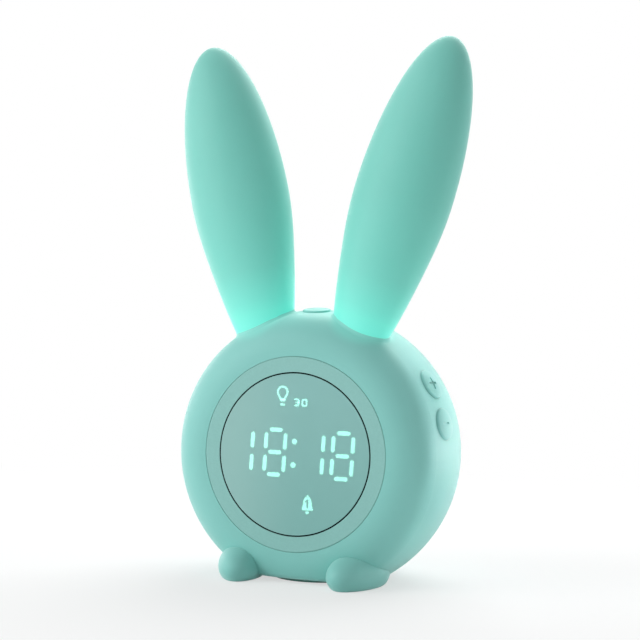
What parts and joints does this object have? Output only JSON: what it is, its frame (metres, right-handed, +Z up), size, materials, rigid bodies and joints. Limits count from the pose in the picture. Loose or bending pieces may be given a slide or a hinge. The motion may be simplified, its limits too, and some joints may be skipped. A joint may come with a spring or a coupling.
{
  "type": "alarm clock with night light",
  "caption": "Rabbit-shaped bedside alarm clock: ball body with round lit display, two tall glowing ears as night light, paws, press keys on the sides and top.",
  "frame": {"origin": "middle of the underside of the base pad, on the table under the middle of the ball", "axes": "+Z up through the ball towards the ears, -Y out of the display face, +X towards the side with the plus and minus keys"},
  "size_m": [0.105, 0.0784, 0.1839],
  "materials": {
    "bezel_abs": "fine spark-eroded grain",
    "body_silicone": "soft matte silicone",
    "cell_foil": "laminate foil",
    "circuit_board": "solder mask",
    "component_black": "moulded",
    "ear_silicone": "translucent matte silicone",
    "foam_tape": "foam",
    "gasket_rubber": "matte",
    "housing_abs": "moulded",
    "inner_plastic": "moulded",
    "led_resin": "clear resin",
    "lens_acrylic": "half-mirror coated acrylic",
    "light_box_plastic": "moulded",
    "magnet_ferrite": "ground",
    "pad_rubber": "matte",
    "screw_steel": "zinc plated",
    "segment_dark": "unlit diffuser",
    "segment_lit": "lit diffuser",
    "socket_steel": "plated",
    "speaker_paper": "pressed paper",
    "speaker_steel": "black",
    "stem_plastic": "moulded"
  },
  "bodies": {
    "root": {"alarm_switch": "component_black", "base_pad": "pad_rubber", "base_plate": "housing_abs", "battery_cell": "cell_foil", "battery_strap": "inner_plastic", "battery_tape": "foam_tape", "bezel_ring": "bezel_abs", "board_screws": "screw_steel", "body_cover": "body_silicone", "charging_board": "circuit_board", "charging_socket": "socket_steel", "dark_segments": "segment_dark", "display_board": "circuit_board", "display_frame": "light_box_plastic", "display_leds": "led_resin", "display_lens": "lens_acrylic", "front_housing": "housing_abs", "housing_screws": "screw_steel", "left_ear": "ear_silicone", "left_ear_leds": "led_resin", "left_ear_light_board": "circuit_board", "left_ear_plug": "inner_plastic", "left_key_board": "circuit_board", "left_paw": "body_silicone", "lens_gasket": "gasket_rubber", "lit_segments": "segment_lit", "main_board": "circuit_board", "main_board_parts": "component_black", "minus_switch": "component_black", "mode_switch": "component_black", "plus_switch": "component_black", "port_insert": "housing_abs", "rear_housing": "housing_abs", "right_ear": "ear_silicone", "right_ear_leds": "led_resin", "right_ear_light_board": "circuit_board", "right_ear_plug": "inner_plastic", "right_key_board": "circuit_board", "right_paw": "body_silicone", "speaker_cone": "speaker_paper", "speaker_frame": "speaker_steel", "speaker_magnet": "magnet_ferrite", "top_key_board": "circuit_board", "top_switch": "component_black"},
    "top_button": {"top_button": "body_silicone", "top_plunger": "inner_plastic", "top_switch_stem": "stem_plastic"},
    "plus_key": {"plus_key": "body_silicone", "plus_plunger": "inner_plastic", "plus_switch_stem": "stem_plastic"},
    "minus_key": {"minus_key": "body_silicone", "minus_plunger": "inner_plastic", "minus_switch_stem": "stem_plastic"},
    "mode_key": {"mode_key": "body_silicone", "mode_plunger": "inner_plastic", "mode_switch_stem": "stem_plastic"},
    "alarm_key": {"alarm_key": "body_silicone", "alarm_plunger": "inner_plastic", "alarm_switch_stem": "stem_plastic"}
  },
  "joints": [
    {"name": "top_button_press", "type": "slide", "parent": "root", "child": "top_button", "axis": [0, 0, -1], "range_m": [0, 0.0008], "stiffness_N_per_m": 1500},
    {"name": "plus_key_press", "type": "slide", "parent": "root", "child": "plus_key", "axis": [-0.9186, 0.1209, -0.3762], "range_m": [0, 0.0008], "stiffness_N_per_m": 1500},
    {"name": "minus_key_press", "type": "slide", "parent": "root", "child": "minus_key", "axis": [-0.9186, 0.1209, -0.3762], "range_m": [0, 0.0008], "stiffness_N_per_m": 1500},
    {"name": "mode_key_press", "type": "slide", "parent": "root", "child": "mode_key", "axis": [0.9186, 0.1209, -0.3762], "range_m": [0, 0.0008], "stiffness_N_per_m": 1500},
    {"name": "alarm_key_press", "type": "slide", "parent": "root", "child": "alarm_key", "axis": [0.9186, 0.1209, -0.3762], "range_m": [0, 0.0008], "stiffness_N_per_m": 1500}
  ]
}
